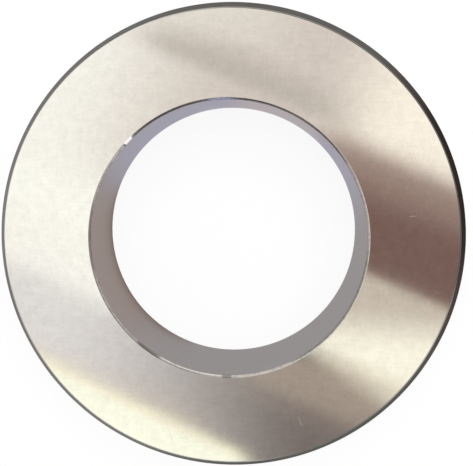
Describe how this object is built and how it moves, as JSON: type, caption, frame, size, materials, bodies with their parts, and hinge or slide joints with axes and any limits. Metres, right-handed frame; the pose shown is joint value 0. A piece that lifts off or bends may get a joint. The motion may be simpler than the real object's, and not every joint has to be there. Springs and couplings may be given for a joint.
{
  "type": "ring gauge",
  "caption": "Plain ring gauge: a hardened steel ring with flat lapped faces, a true lapped bore with lead chamfers, and chamfered rims, for checking shafts and setting bore gauges.",
  "frame": {"origin": "centre of the lower face, on the ring's axis, where the ring lies on a surface", "axes": "+Z along the ring's axis, up out of the upper face; X and Y are any two directions across it"},
  "size_m": [0.085, 0.085, 0.02],
  "materials": {
    "ground_steel": "ground and lapped bright satin, with a greyer turned finish on the rim chamfers and the outside"
  },
  "bodies": {
    "root": {"gauge_ring": "ground_steel"}
  },
  "joints": []
}
